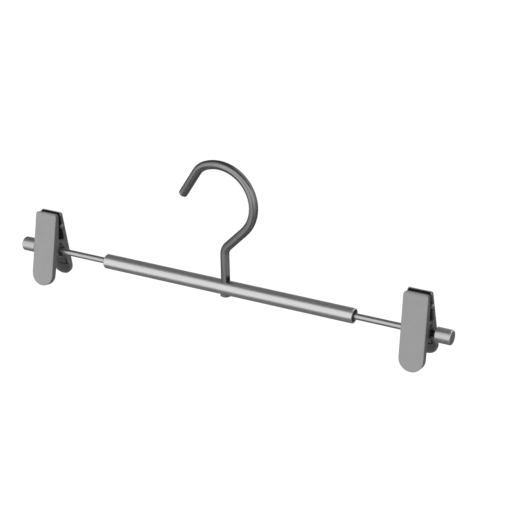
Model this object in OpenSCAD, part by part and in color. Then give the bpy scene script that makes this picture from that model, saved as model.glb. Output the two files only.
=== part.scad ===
// Trouser hanger: a swivelling wire hook, a tube with a rod at each end, and
// two sprung clips that slide and turn on the rods.
// +X runs along the bar and +Z is up. The origin is the rail seat, the
// highest point inside the round of the hook.

/* [Crossbar tube] */
// Outer diameter of the tube
bar_d = 10; // [9:0.5:13]
// Wall of the tube
bar_wall = 0.9; // [0.7:0.1:1.2]
// Length of the tube
bar_len = 187.6; // [140:0.2:200]
// Radius turned on the outer edge of each end
bar_edge = 0.6; // [0.4:0.1:0.7]

/* [Plugs in the tube] */
// Length of the plug in each mouth
plug_len = 11; // [8:1:14]
// How far that plug lies inside the mouth
plug_sink = 0.9; // [0.5:0.1:1.5]
// Length of the plug round each rod's inner end
inner_plug_len = 8; // [5:1:12]

/* [Rods] */
// Diameter of each rod
rod_d = 4.2; // [3.8:0.1:4.4]
// Length of rod inside the tube
rod_grip = 38; // [32:1:50]
// Bare length from the tube to the left end knob
left_rod_reach = 58.2; // [45:0.1:70]
// Bare length from the tube to the right end knob
right_rod_reach = 55.9; // [45:0.1:70]

/* [End knobs] */
// Diameter of each knob
knob_d = 9.8; // [8.6:0.1:11]
// Length of each knob
knob_len = 10.4; // [9:0.1:16]
// Rounding of the knob's outer edge
knob_round = 0.9; // [0.5:0.1:1.5]
// Chamfer on the knob's inner edge
knob_chamfer = 0.4; // [0.2:0.1:0.8]
// Metal left between the rod's end and the knob's end face
knob_cap = 3.4; // [2:0.1:5]

/* [Hook] */
// Diameter of the hook's wire
wire_d = 6; // [5.4:0.1:6.4]
// Centre line radius of the hook's round
hook_r = 25.2; // [22:0.1:27]
// Height of the round's centre above the tube's axis
hook_rise = 60.1; // [54:0.1:72]
// How far the round's centre is set back from the stem
hook_back = 3.1; // [0:0.1:5]
// Lean of the neck away from the stem
neck_angle = 45; // [40:1:50]
// Centre line radius where the stem bends into the neck
neck_r = 9; // [6:0.5:10]
// Angle round the hook at which the tighter bend starts
tip_bend_from = 113; // [108:1:118]
// Centre line radius of that bend
tip_bend_r = 14; // [10:0.5:16]
// Slope of the straight tip below the level
tip_slope = 57; // [52:1:62]
// Length of the straight tip
tip_len = 18.7; // [12:0.1:22]

/* [Hook's rivet] */
// Diameter of the turned-down shank through the tube's underside
shank_d = 5; // [4.2:0.1:5]
// Diameter of the peened head
head_d = 6.2; // [6:0.1:6.8]
// Height of the peened head
head_h = 0.9; // [0.6:0.1:1.2]
// Diameter of the saddle washer
washer_d = 7.4; // [7:0.1:8]
// Thickness of the washer under the tube
washer_t = 0.7; // [0.5:0.1:1]

/* [Clip places] */
// Bare rod between the left clip's sleeve and the knob
left_clip_gap = 2.65; // [0.3:0.05:25]
// Bare rod between the right clip's sleeve and the knob
right_clip_gap = 3.25; // [0.3:0.05:25]
// Turn of the left clip about its rod, top forward
left_clip_lean = -1; // [-20:0.5:20]
// Turn of the right clip about its rod, top forward
right_clip_lean = 4.5; // [-20:0.5:20]

/* [Jaws] */
// Width of a clip
clip_w = 16.8; // [16:0.1:18]
// Height of the jaws above the pivot
grip_up = 26.7; // [24:0.1:32]
// Length of the handles below the pivot
handle_down = 24.9; // [23:0.1:30]
// Distance from the pivot to a jaw's outer face
face_out = 9.25; // [9:0.05:10]
// Lean of each jaw when the clip is closed
clip_tilt = 11.6; // [11:0.1:13]
// Thickness of a jaw's face
face_t = 1.2; // [1:0.1:1.4]
// Thickness of a jaw's side walls
side_t = 1.25; // [1:0.05:1.3]
// Radius of a jaw's top corners
corner_r = 2; // [1:0.1:3]
// Bevel along a jaw's top edge
top_bevel = 0.9; // [0.5:0.1:1]
// Depth of the front jaw's sides at the top
front_top_depth = 3.1; // [2.6:0.1:3.3]
// Depth of the front jaw's sides just above the ears
front_low_depth = 5; // [4.5:0.1:5.1]
// Depth of the back jaw's sides at the top
back_top_depth = 1.7; // [1.6:0.1:2.4]
// Depth of the back jaw's sides just above the ears
back_low_depth = 3.1; // [2.8:0.1:3.4]
// Depth of the rim round the front handle
front_handle_depth = 4.2; // [3.6:0.1:4.4]
// Depth of the rim round the back handle
back_handle_depth = 2.2; // [1.8:0.1:2.6]

/* [Ears] */
// Width of metal round the pivot hole in an ear
ear_rim = 1.55; // [1.3:0.05:1.6]
// Height of an ear's inner corner above the pivot
ear_up = 6.4; // [6:0.1:6.6]
// How far that corner lies out from the pivot
ear_up_out = 1; // [0.6:0.1:1.3]
// Rise of the ear's top edge from that corner to the jaw's side
ear_rise = 0.7; // [0.4:0.1:1]
// Depth below the pivot at which an ear meets the handle's side
ear_down = 7; // [6.6:0.1:7.6]
// How far out from the pivot it meets it
ear_down_out = 4.7; // [4.4:0.1:5]
// Depth below the pivot at which the handle's side is down to its rim
taper_down = 15.4; // [13:0.1:17]
// Thickness of the front jaw's inner ears
inner_ear_t = 1.2; // [1:0.1:1.4]

/* [Pads] */
// Height of a pad's lower end above the pivot
pad_low = 8.4; // [8.2:0.1:10]
// Chamfer on a pad's lower inner edge
pad_chamfer = 1.2; // [0.8:0.1:1.6]
// How far a pad's upper end lies below the jaw's tip
pad_drop = 0.2; // [0.1:0.1:0.5]
// Number of grooves across a pad's gripping face
pad_grooves = 4; // [2:1:4]
// Distance from one groove to the next
groove_pitch = 2.4; // [2:0.1:2.6]
// Width of a groove
groove_w = 1; // [0.6:0.1:1.2]
// Depth of a groove
groove_deep = 0.6; // [0.3:0.1:0.8]

/* [Back pad's pin] */
// Height of the pin above the pivot
pin_up = 16.8; // [15.5:0.1:18]
// Depth of the pin behind the jaw's outer face
pin_deep = 2.95; // [2.8:0.05:3.1]
// Diameter of the pin
pin_d = 2; // [1.6:0.1:2.2]
// Diameter of the pin's domed heads
pin_head_d = 2.8; // [2.6:0.1:3]
// Height of the pin's domed heads
pin_head_h = 0.6; // [0.4:0.1:0.8]
// Width of the jaw's side left round the pin
lobe_rim = 0.9; // [0.7:0.1:1]

/* [Pivot sleeve] */
// Wall of the sleeve
sleeve_wall = 0.85; // [0.7:0.05:0.9]
// How far the rolled flange stands out from the sleeve
flange_out = 0.7; // [0.5:0.1:0.9]
// Thickness of the flange
flange_t = 0.5; // [0.4:0.1:0.6]

/* [Spring] */
// Diameter of the spring's wire
spring_wire = 1.1; // [0.9:0.1:1.1]
// Full curls round the sleeve
spring_curls = 5; // [3:1:5]
// Clearance between the curls and the sleeve
coil_gap = 0.35; // [0.25:0.05:0.4]
// Clearance between the end curls and the inner ears
coil_side_gap = 0.3; // [0.2:0.05:0.4]
// How far below the pivot each foot presses on its handle
foot_down = 16.3; // [14:0.1:18]
// Length of a foot
foot_len = 6.4; // [4:0.1:7]
// Bend radius between a leg and its foot
foot_bend = 1.2; // [1:0.1:1.5]

/* [Fits] */
// Radial clearance where one piece turns or slides on another
run_gap = 0.05; // [0.03:0.01:0.08]
// Radial clearance where one piece is pressed into another
snug = 0.02; // [0.01:0.01:0.03]
// Gap between the edges of two pieces that pass each other
pass_gap = 0.3; // [0.2:0.05:0.35]
// Gap between the faces of two pieces that turn side by side
side_gap = 0.15; // [0.1:0.05:0.2]
// Gap between the two closed pads
pad_gap = 0.2; // [0.1:0.1:0.3]

/* [Hidden] */
$fn = 72;
// Overrun of every cut
over = 1;

// Tube, rods and knobs
bar_r = bar_d / 2;
bore_r = bar_r - bar_wall;
rod_r = rod_d / 2;
knob_r = knob_d / 2;
mouth_x = bar_len / 2;
rod_from = mouth_x - rod_grip;

// Hook: its centre line lies in the plane of the bar
wire_r = wire_d / 2;
seat_height = hook_rise + hook_r - wire_r;
neck_high = [hook_r * cos(neck_angle) - hook_back, hook_rise - hook_r * sin(neck_angle)];
neck_way = [sin(neck_angle), cos(neck_angle)];
neck_len = (neck_high.x - neck_r * (1 - cos(neck_angle))) / sin(neck_angle);
stem_top = neck_high.y - neck_len * cos(neck_angle) - neck_r * sin(neck_angle);
tip_bend_to = 90 + tip_slope;
tip_step = hook_r - tip_bend_r;
tip_bend_at = [tip_step * cos(tip_bend_from) - hook_back,
    hook_rise + tip_step * sin(tip_bend_from)];
tip_from = tip_bend_at + tip_bend_r * [cos(tip_bend_to), sin(tip_bend_to)];
tip_end = tip_from - tip_len * [cos(tip_slope), sin(tip_slope)];
// Lap and step in radius where two stretches of the wire join
lap = wire_d / 120;
thick_r = wire_r + wire_d / 600;
tip_lap = lap / tip_bend_r * 180 / PI;
neck_from = neck_high - (neck_len + lap) * neck_way;

// Shank, washer and head under the tube
shank_r = shank_d / 2;
washer_r = washer_d / 2;
head_r = head_d / 2;
shoulder_z = run_gap - sqrt(bore_r * bore_r - wire_r * wire_r);
washer_z = -bar_r - washer_t;
head_z = washer_z - run_gap;

// Pivot: the sleeve on the rod and the ears on the sleeve
sleeve_bore = rod_r + run_gap;
sleeve_r = sleeve_bore + sleeve_wall;
ear_hole = sleeve_r + run_gap;
ear_r = ear_hole + ear_rim;
sleeve_half = clip_w / 2 + run_gap;
flange_end = sleeve_half + flange_t;

// Layers of a clip along the rod, from its sides inwards
side_in = clip_w / 2 - side_t;
inner_ear_out = side_in - side_gap;
inner_ear_in = inner_ear_out - inner_ear_t;

// Side view of a jaw: each point is [out from the pivot, up from the pivot]
face_in = face_out - face_t;
front_rim_in = face_out - front_handle_depth;
back_rim_in = face_out - back_handle_depth;
ear_corner = [ear_up_out, ear_up];
ear_foot = [ear_down_out, -ear_down];
ear_heel = [face_out - back_low_depth, ear_up + ear_rise];
pin_at = [face_out - pin_deep, pin_up];
lobe_r = pin_d / 2 + lobe_rim;
// Where the sloping edge of the front handle's side would cross the pivot's level
taper_start = [ear_down_out - ear_down * (front_rim_in - ear_down_out) / (taper_down - ear_down), 0];

// The point where a line from p touches a circle of radius r, on side s
function touch(p, r, s) =
    let (a = atan2(p.y, p.x) + s * acos(r / norm(p))) r * [cos(a), sin(a)];
// A point of the back jaw's side view, as the closed front jaw sees it
function across(p) = [
    p.y * sin(2 * clip_tilt) - p.x * cos(2 * clip_tilt),
    p.y * cos(2 * clip_tilt) + p.x * sin(2 * clip_tilt)];
// A point moved away from the pivot
function outward(p, by) = p * (1 + by / norm(p));

tip_edge = [[face_out, grip_up - top_bevel], [face_out - top_bevel, grip_up]];
function handle_edge(rim_in) = [ear_foot, [rim_in, -taper_down], [rim_in, -handle_down - over],
    [face_out, -handle_down - over]];
ear_edge = [ear_corner, touch(ear_corner, ear_r, -1), [0, 0], touch(ear_foot, ear_r, 1)];
back_side = concat(tip_edge, [[face_out - back_top_depth, grip_up], ear_heel],
    ear_edge, handle_edge(back_rim_in));
// The front jaw's side ends a passing gap short of the back jaw's ear
seam_r = ear_r + pass_gap;
seam_corner = across(outward(ear_corner, 1.5 * pass_gap));
seam_start = across((ear_corner + ear_heel) / 2 + [0, 1.5 * pass_gap]);
front_side = concat(tip_edge, [[face_out - front_top_depth, grip_up],
    [face_out - front_low_depth, pad_low], seam_start, seam_corner,
    touch(seam_corner, seam_r, -1), [0, 0], taper_start], handle_edge(front_rim_in));
inner_ear_side = concat([[face_in + face_t / 2, ear_heel.y]], ear_edge,
    [ear_foot, [face_in + face_t / 2, -ear_down]]);

// Spring: its curls, and the legs that leave them down to the handles
curl_step = 45;
half_curl = 180 / curl_step;
spring_r = spring_wire / 2;
coil_r = sleeve_r + coil_gap + spring_r;
coil_half = inner_ear_in - coil_side_gap - spring_r;
foot_out = face_in - run_gap - spring_r;
foot_y = foot_out * cos(clip_tilt) + foot_down * sin(clip_tilt);
foot_z = foot_out * sin(clip_tilt) - foot_down * cos(clip_tilt);
leg_angle = atan2(foot_z, foot_y) + acos(coil_r / norm([foot_y, foot_z]));
coil_sweep = 180 - 2 * leg_angle + 360 * spring_curls;
coil_steps = ceil(coil_sweep / curl_step);
curl_points = [for (i = [0 : coil_steps])
    let (a = 180 - leg_angle - coil_sweep * i / coil_steps)
    [coil_half * (2 * i / coil_steps - 1), coil_r * cos(a), coil_r * sin(a)]];
corner = [coil_half, foot_y, foot_z];
leg_top = curl_points[coil_steps];
leg_way = (corner - leg_top) / norm(corner - leg_top);
bend_at = corner - foot_bend * leg_way - [foot_bend, 0, 0];
back_leg = concat(
    [for (a = [0 : curl_step / 2 : 90]) bend_at + foot_bend * (cos(a) * [1, 0, 0] + sin(a) * leg_way)],
    [corner - [foot_len, 0, 0]]);
front_leg = [for (i = [len(back_leg) - 1 : -1 : 0])
    [-back_leg[i].x, -back_leg[i].y, back_leg[i].z]];
spring_points = concat(front_leg, curl_points, back_leg);

// Least gap between stretches of the spring that lie a half curl or more apart
spring_last = len(spring_points) - 1;
spring_gap = min([for (i = [0 : spring_last - half_curl]) for (j = [i + half_curl : spring_last])
    norm(spring_points[i] - spring_points[j])]) - spring_wire;
echo(spring_gap = spring_gap);

// Directions along a path, and a normal at each point that never twists
function unit(v) = v / norm(v);
function way(path, i) =
    unit(path[min(i + 1, len(path) - 1)] - path[max(i - 1, 0)]);
function level(v, along) = unit(v - (v * along) * along);
function normals(path, i, last) = i == len(path) ? [] :
    let (n = level(last, way(path, i))) concat([n], normals(path, i + 1, n));

// A closed round tube along a path
module tube_along(path, r, sides) {
    turned = normals(path, 0, [0, 0, 1]);
    count = len(path);
    rings = [for (i = [0 : count - 1]) for (k = [0 : sides - 1])
        let (a = 360 * k / sides, n = turned[i], b = cross(way(path, i), n))
        path[i] + r * (cos(a) * n + sin(a) * b)];
    walls = [for (i = [0 : count - 2]) for (k = [0 : sides - 1])
        let (a = i * sides + k, b = i * sides + (k + 1) % sides)
        for (f = [[a, a + sides, b], [b, a + sides, b + sides]]) f];
    caps = [for (k = [1 : sides - 2]) for (f = [[0, k, k + 1],
        [(count - 1) * sides, (count - 1) * sides + k + 1, (count - 1) * sides + k]]) f];
    polyhedron(rings, concat(walls, caps));
}

// From the bar's middle to the frame, which has its origin at the rail seat
module from_bar() {
    translate([hook_back, 0, -seat_height]) children();
}

// A piece that repeats at each end of the bar: side -1 is the left one
module at_end(side) {
    from_bar() rotate([0, side * 90, 0]) children();
}

// Hook: stem, neck run and tip bend are a hair thicker than what they join,
// and reach a lap into it, so that the wire is one solid
module wire_bend(at, r, from, to, wire) {
    translate([at.x, 0, at.y]) rotate([90, 0, 0]) rotate([0, 0, from])
        rotate_extrude(angle = to - from) translate([r, 0]) circle(wire);
}

module wire_run(at, angle, length, wire) {
    translate([at.x, 0, at.y]) rotate([0, 90 - angle, 0]) cylinder(r = wire, h = length);
}

module dome(r, h) {
    ball = (r * r + h * h) / (2 * h);
    rotate_extrude() intersection() {
        translate([0, h - ball]) circle(ball);
        square([r, h]);
    }
}

module hook() {
    color("darkgray") from_bar() {
        translate([0, 0, head_z]) mirror([0, 0, 1]) dome(head_r, head_h);
        translate([0, 0, head_z]) cylinder(r = shank_r, h = shoulder_z - head_z);
        translate([0, 0, shoulder_z]) cylinder(r = thick_r, h = stem_top + lap - shoulder_z);
        wire_bend([neck_r, stem_top], neck_r, 180 - neck_angle, 180, wire_r);
        wire_run(neck_from, 90 - neck_angle, neck_len + 2 * lap, thick_r);
        wire_bend([-hook_back, hook_rise], hook_r, -neck_angle, tip_bend_from, wire_r);
        wire_bend(tip_bend_at, tip_bend_r, tip_bend_from - tip_lap, tip_bend_to + tip_lap, thick_r);
        wire_run(tip_from, tip_bend_to + 90, tip_len, wire_r);
        translate([tip_end.x, 0, tip_end.y]) sphere(wire_r);
    }
}

module saddle_washer() {
    color("gray") from_bar() difference() {
        translate([0, 0, washer_z]) cylinder(r = washer_r, h = bar_r);
        rotate([0, 90, 0]) cylinder(r = bar_r, h = 2 * bar_r, center = true);
        translate([0, 0, washer_z - over]) cylinder(r = shank_r + run_gap, h = bar_r);
    }
}

// Tube and what it holds
module crossbar_tube() {
    color("gainsboro") from_bar() difference() {
        rotate([0, 90, 0]) rotate_extrude() {
            translate([0, bar_edge - mouth_x]) square([bar_r, bar_len - 2 * bar_edge]);
            translate([0, -mouth_x]) square([bar_r - bar_edge, bar_len]);
            for (end = [-1, 1])
                translate([bar_r - bar_edge, end * (mouth_x - bar_edge)]) circle(bar_edge);
        }
        along_rod(bore_r, bar_len + over);
        cylinder(r = wire_r + run_gap, h = bar_r + over);
        translate([0, 0, -bar_r - over]) cylinder(r = shank_r + run_gap, h = bar_r + over);
    }
}

module plug(side, from, length) {
    color("dimgray") at_end(side) translate([0, 0, from]) difference() {
        cylinder(r = bore_r - snug, h = length);
        translate([0, 0, -over]) cylinder(r = rod_r + snug, h = length + 2 * over);
    }
}

module left_end_plug() plug(-1, mouth_x - plug_sink - plug_len, plug_len);
module right_end_plug() plug(1, mouth_x - plug_sink - plug_len, plug_len);
module left_inner_plug() plug(-1, rod_from, inner_plug_len);
module right_inner_plug() plug(1, rod_from, inner_plug_len);

function knob_root(side) = mouth_x + (side < 0 ? left_rod_reach : right_rod_reach);
function rod_to(side) = knob_root(side) + knob_len - knob_cap;

module rod(side) {
    color("silver") at_end(side) translate([0, 0, rod_from])
        cylinder(r = rod_r, h = rod_to(side) - rod_from);
}

module left_rod() rod(-1);
module right_rod() rod(1);

module end_knob(side) {
    color("lightgray") at_end(side) translate([0, 0, knob_root(side)]) difference() {
        rotate_extrude() {
            polygon([[0, 0], [knob_r - knob_chamfer, 0], [knob_r, knob_chamfer],
                [knob_r, knob_len - knob_round], [knob_r - knob_round, knob_len], [0, knob_len]]);
            translate([knob_r - knob_round, knob_len - knob_round]) circle(knob_round);
        }
        translate([0, 0, -over]) cylinder(r = rod_r + snug, h = knob_len - knob_cap + over);
    }
}

module left_end_knob() end_knob(-1);
module right_end_knob() end_knob(1);

// Clips: side -1 is the left one, and both are built alike
module at_clip(side) {
    gap = side < 0 ? left_clip_gap : right_clip_gap;
    lean = side < 0 ? left_clip_lean : right_clip_lean;
    from_bar() translate([side * (knob_root(side) - gap - flange_end), 0, 0])
        rotate([lean, 0, 0]) children();
}

// A jaw's own frame has its face upright, outwards along +Y
module back_half() {
    rotate([clip_tilt, 0, 0]) children();
}

module front_half() {
    mirror([0, 1, 0]) back_half() children();
}

// A side view drawn through a width along the rod
module side_view(points, width) {
    rotate([90, 0, 90]) linear_extrude(width, center = true) polygon(points);
}

module along_rod(r, width) {
    rotate([0, 90, 0]) cylinder(r = r, h = width, center = true);
}

// Front view of a jaw, drawn in by inset and carried up to top
module front_view(inset, top, round) {
    half = clip_w / 2 - inset;
    low = clip_w / 2 - handle_down;
    translate([0, low]) circle(half);
    translate([-half, low]) square([2 * half, top - round - low]);
    translate([round - half, low]) square([2 * (half - round), top - low]);
    for (s = [-1, 1]) translate([s * (half - round), top - round]) circle(round);
}

module face_block(inset, top, round, outer) {
    translate([0, outer, 0]) rotate([90, 0, 0])
        linear_extrude(outer + ear_r + over) front_view(inset, top, round);
}

// A jaw's shell: its front view and the side view given, hollowed from inside
module shell(cut_r) {
    difference() {
        intersection() {
            face_block(0, grip_up, corner_r, face_out);
            union() children();
        }
        face_block(side_t, grip_up + corner_r, corner_r, face_in);
        along_rod(cut_r, clip_w + over);
    }
}

module front_jaw(side) {
    color("darkgray") at_clip(side) front_half() {
        shell(seam_r) side_view(front_side, clip_w + over);
        for (s = [-1, 1]) translate([s * (inner_ear_out + inner_ear_in) / 2, 0, 0])
            difference() {
                union() {
                    side_view(inner_ear_side, inner_ear_t);
                    along_rod(ear_r, inner_ear_t);
                }
                along_rod(ear_hole, inner_ear_t + over);
            }
    }
}

module at_pin() {
    back_half() translate([0, pin_at.x, pin_at.y]) children();
}

module back_jaw(side) {
    color("darkgray") at_clip(side) difference() {
        union() {
            back_half() shell(ear_hole) {
                side_view(back_side, clip_w + over);
                along_rod(ear_r, clip_w + over);
            }
            at_pin() for (s = [-1, 1]) translate([s * (side_in + side_t / 2), 0, 0])
                along_rod(lobe_r, side_t);
        }
        at_pin() along_rod(pin_d / 2 + snug, clip_w + over);
    }
}

module left_front_jaw() front_jaw(-1);
module right_front_jaw() front_jaw(1);
module left_back_jaw() back_jaw(-1);
module right_back_jaw() back_jaw(1);

// Pads: their gripping faces stand upright in the closed clip
function grip_at(up) = [(pad_gap / 2 + up * sin(clip_tilt)) / cos(clip_tilt), up];

module pad_block() {
    top = grip_up - pad_drop;
    side_view([[face_in, pad_low], [face_in, top], grip_at(top),
        grip_at(pad_low + pad_chamfer), grip_at(pad_low) + [pad_chamfer, 0]],
        2 * (side_in - snug));
}

module grooves() {
    for (i = [1 : pad_grooves])
        translate([-clip_w / 2, -over, grip_up * cos(clip_tilt) - i * groove_pitch])
            cube([clip_w, over + pad_gap / 2 + groove_deep, groove_w]);
}

module front_pad(side) {
    color("#1c1c1c") at_clip(side) difference() {
        front_half() pad_block();
        mirror([0, 1, 0]) grooves();
    }
}

module back_pad(side) {
    color("#1c1c1c") at_clip(side) difference() {
        back_half() pad_block();
        grooves();
        at_pin() along_rod(pin_d / 2 + snug, clip_w);
    }
}

module left_front_pad() front_pad(-1);
module right_front_pad() front_pad(1);
module left_back_pad() back_pad(-1);
module right_back_pad() back_pad(1);

module pad_pin(side) {
    color("silver") at_clip(side) at_pin() {
        along_rod(pin_d / 2, clip_w + 2 * snug);
        for (s = [-1, 1]) rotate([0, s * 90, 0])
            translate([0, 0, clip_w / 2 + snug]) dome(pin_head_d / 2, pin_head_h);
    }
}

module left_pad_pin() pad_pin(-1);
module right_pad_pin() pad_pin(1);

module pivot_sleeve(side) {
    color("dimgray") at_clip(side) rotate([0, 90, 0]) rotate_extrude() {
        translate([sleeve_bore, -flange_end]) square([sleeve_wall, 2 * flange_end]);
        for (z = [-flange_end, sleeve_half])
            translate([sleeve_bore, z]) square([sleeve_wall + flange_out, flange_t]);
    }
}

module left_pivot_sleeve() pivot_sleeve(-1);
module right_pivot_sleeve() pivot_sleeve(1);

module spring(side) {
    color("slategray") at_clip(side) tube_along(spring_points, spring_r, 6);
}

module left_spring() spring(-1);
module right_spring() spring(1);

hook();
saddle_washer();
crossbar_tube();
left_end_plug();
right_end_plug();
left_inner_plug();
right_inner_plug();
left_rod();
right_rod();
left_end_knob();
right_end_knob();
left_pivot_sleeve();
left_front_jaw();
left_back_jaw();
left_front_pad();
left_back_pad();
left_pad_pin();
left_spring();
right_pivot_sleeve();
right_front_jaw();
right_back_jaw();
right_front_pad();
right_back_pad();
right_pad_pin();
right_spring();
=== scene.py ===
from math import acos, atan2, cos, pi, radians, sin, tan

import bmesh
import bpy
from mathutils import Matrix, Vector


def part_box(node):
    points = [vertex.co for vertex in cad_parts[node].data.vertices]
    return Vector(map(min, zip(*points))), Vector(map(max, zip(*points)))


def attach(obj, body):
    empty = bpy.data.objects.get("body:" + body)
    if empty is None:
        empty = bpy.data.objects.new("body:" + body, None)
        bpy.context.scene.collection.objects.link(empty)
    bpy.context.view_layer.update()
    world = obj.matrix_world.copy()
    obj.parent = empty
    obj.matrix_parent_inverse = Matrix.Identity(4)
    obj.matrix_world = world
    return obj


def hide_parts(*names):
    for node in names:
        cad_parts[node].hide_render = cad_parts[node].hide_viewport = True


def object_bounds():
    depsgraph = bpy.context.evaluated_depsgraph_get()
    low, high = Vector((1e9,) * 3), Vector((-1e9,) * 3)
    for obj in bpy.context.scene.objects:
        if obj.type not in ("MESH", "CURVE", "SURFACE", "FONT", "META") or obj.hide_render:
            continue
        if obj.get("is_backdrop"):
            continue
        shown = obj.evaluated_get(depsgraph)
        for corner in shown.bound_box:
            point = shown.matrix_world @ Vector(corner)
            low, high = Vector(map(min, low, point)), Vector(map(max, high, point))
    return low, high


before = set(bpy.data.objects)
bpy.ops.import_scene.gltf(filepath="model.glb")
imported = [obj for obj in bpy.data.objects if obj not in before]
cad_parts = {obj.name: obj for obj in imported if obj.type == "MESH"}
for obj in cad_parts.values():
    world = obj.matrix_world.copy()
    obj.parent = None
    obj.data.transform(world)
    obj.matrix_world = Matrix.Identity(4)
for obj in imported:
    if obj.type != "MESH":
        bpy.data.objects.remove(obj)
cad_low, cad_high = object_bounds()

# Crossbar tube: a length of drawn steel tube, 10 mm across, with its cut ends rubbed round and
# one hole drilled down through its middle for the hook's shank. It is plated and left satin,
# so long soft bands of light and dark run along it.
MM = 0.001
bar = (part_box("crossbar_tube")[0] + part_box("crossbar_tube")[1]) / 2  # middle of the bar's axis
bar_half, bar_r, bore_r, bar_edge, bore_edge = 93.8, 5.0, 4.1, 0.6, 0.2
wire_hole_r, shank_hole_r, hole_ring = 3.05, 2.55, 6.0
past = 1  # how far a cutter or a blank reaches past the piece's skin


def rounded(corners, closed=True):
    """Draws an outline in one plane, in mm. A third number at a corner rounds it to that radius."""
    shape = bmesh.new()
    points = [shape.verts.new((a, b, 0)) for a, b, *_ in corners]
    for first, second in zip(points, points[1:] + points[:1] if closed else points[1:]):
        shape.edges.new((first, second))
    spots = [Vector(corner[:2]) for corner in corners]
    for i, (point, (_, _, *radius)) in enumerate(zip(points, corners)):
        if radius:
            turn = (spots[i] - spots[i - 1]).angle(spots[(i + 1) % len(spots)] - spots[i])
            bmesh.ops.bevel(shape, geom=[point], offset=radius[0] * tan(turn / 2), offset_type="OFFSET",
                            segments=4 + round(1.5 * radius[0]), profile=0.5, affect="VERTICES", material=-1)
    bmesh.ops.remove_doubles(shape, verts=shape.verts, dist=0.002)
    return shape


def turned(corners, closed=True, sides=96):
    """Turns an outline of (along, out, rounding) corners all the way round the bar's axis."""
    shape = rounded(corners, closed)
    bmesh.ops.spin(shape, geom=[*shape.verts, *shape.edges], cent=(0, 0, 0), axis=(1, 0, 0),
                   angle=2 * pi, steps=sides, use_merge=True)
    bmesh.ops.remove_doubles(shape, verts=shape.verts, dist=0.0005)
    return shape


def pin_shape(radius, start, end, axis="X", sides=96):
    """A plain round bar along an axis, used to cut holes and to add round ends."""
    shape = bmesh.new()
    bmesh.ops.create_cone(shape, cap_ends=True, segments=sides, radius1=radius, radius2=radius,
                          depth=end - start)
    bmesh.ops.translate(shape, vec=(0, 0, (start + end) / 2), verts=shape.verts)
    if axis == "X":
        bmesh.ops.rotate(shape, cent=(0, 0, 0), matrix=Matrix.Rotation(pi / 2, 3, "Y"), verts=shape.verts)
    return shape


def linked(name, data):
    """Puts a mesh, a lamp or a camera in the scene as an object."""
    item = bpy.data.objects.new(name, data)
    bpy.context.scene.collection.objects.link(item)
    return item


def as_object(name, shape):
    """Turns a drawn shape into an object in the scene."""
    mesh = bpy.data.meshes.new(name)
    shape.to_mesh(mesh)
    shape.free()
    return linked(name, mesh)


def joined(first, second, how="DIFFERENCE"):
    """Cuts the second closed shape from the first, adds it, or keeps what they share."""
    blanks = []
    for shape in (first, second):
        bmesh.ops.recalc_face_normals(shape, faces=shape.faces)
        blanks.append(as_object("blank", shape))
    cut = blanks[0].modifiers.new("cut", "BOOLEAN")
    cut.object, cut.operation, cut.solver = blanks[1], how, "EXACT"
    result = bmesh.new()
    result.from_object(blanks[0], bpy.context.evaluated_depsgraph_get())
    for blank in blanks:
        mesh = blank.data
        bpy.data.objects.remove(blank)
        bpy.data.meshes.remove(mesh)
    return result


def placed(x=0.0):
    """From millimetres round a point of the bar's axis to the frame's metres."""
    return Matrix.Translation(bar + Vector((x * MM, 0, 0))) @ Matrix.Scale(MM, 4)


def finished(name, shape, place, material, crease=32):
    """Closes a shape, turns its faces outwards, and puts it in its place as a named piece."""
    bmesh.ops.remove_doubles(shape, verts=shape.verts, dist=0.0005)
    bmesh.ops.recalc_face_normals(shape, faces=shape.faces)
    for face in shape.faces:
        face.smooth = True
    for edge in shape.edges:
        edge.smooth = edge.calc_face_angle(pi) < radians(crease)
    shape.transform(place)
    piece = as_object(name, shape)
    piece.data.materials.append(material)
    piece.modifiers.new("even shading", "WEIGHTED_NORMAL").keep_sharp = True
    return piece


def linear(code):
    """The linear colour of an sRGB hex value."""
    parts = [int(code[i:i + 2], 16) / 255 for i in (1, 3, 5)]
    return [*(p / 12.92 if p <= 0.04045 else ((p + 0.055) / 1.055) ** 2.4 for p in parts), 1]


def add(tree, kind, inputs, **settings):
    """Adds a node with its settings. Each input is a value or another node's output."""
    node = tree.nodes.new("ShaderNode" + kind)
    for name, value in settings.items():
        setattr(node, name, value)
    for name, value in inputs.items():
        if isinstance(value, bpy.types.NodeSocket):
            tree.links.new(value, node.inputs[name])
        else:
            node.inputs[name].default_value = value
    return node


def bare_tree(owner):
    """The node tree of a new material or of the world, emptied."""
    owner.use_nodes = True
    owner.node_tree.nodes.clear()
    return owner.node_tree


def surface(name, **constants):
    """A material of one shader, with its constant values set on the shader's own sockets."""
    material = bpy.data.materials.new(name)
    tree = bare_tree(material)
    shader = add(tree, "BsdfPrincipled", {key.replace("_", " "): value for key, value in constants.items()})
    add(tree, "OutputMaterial", {"Surface": shader.outputs[0]})
    return material, tree, shader


# Satin nickel plate on drawn tube: the plate keeps the tube's fine lengthwise draw lines, which
# stretch each light into a soft band. The real lines are near 0.1 mm, drawn here 0.5 mm wide.
satin_nickel, tree, shader = surface("satin_nickel_plate", Metallic=1.0, Base_Color=linear("#dcdcdc"))
at = add(tree, "TexCoord", {}).outputs["Object"]
lengthwise = add(tree, "Mapping", {"Vector": at, "Scale": (1 / (40 * MM), 1 / (0.5 * MM), 1 / (0.5 * MM))})
lines = add(tree, "TexNoise", {"Vector": lengthwise.outputs[0], "Scale": 1.0, "Detail": 2.0})
rough = add(tree, "MapRange", {"Value": lines.outputs[0], "From Min": 0.3, "From Max": 0.7,
                               "To Min": 0.3, "To Max": 0.4})
tree.links.new(rough.outputs[0], shader.inputs["Roughness"])
relief = add(tree, "Bump", {"Height": lines.outputs[0], "Strength": 0.12, "Distance": 0.02 * MM})
tree.links.new(relief.outputs[0], shader.inputs["Normal"])

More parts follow.
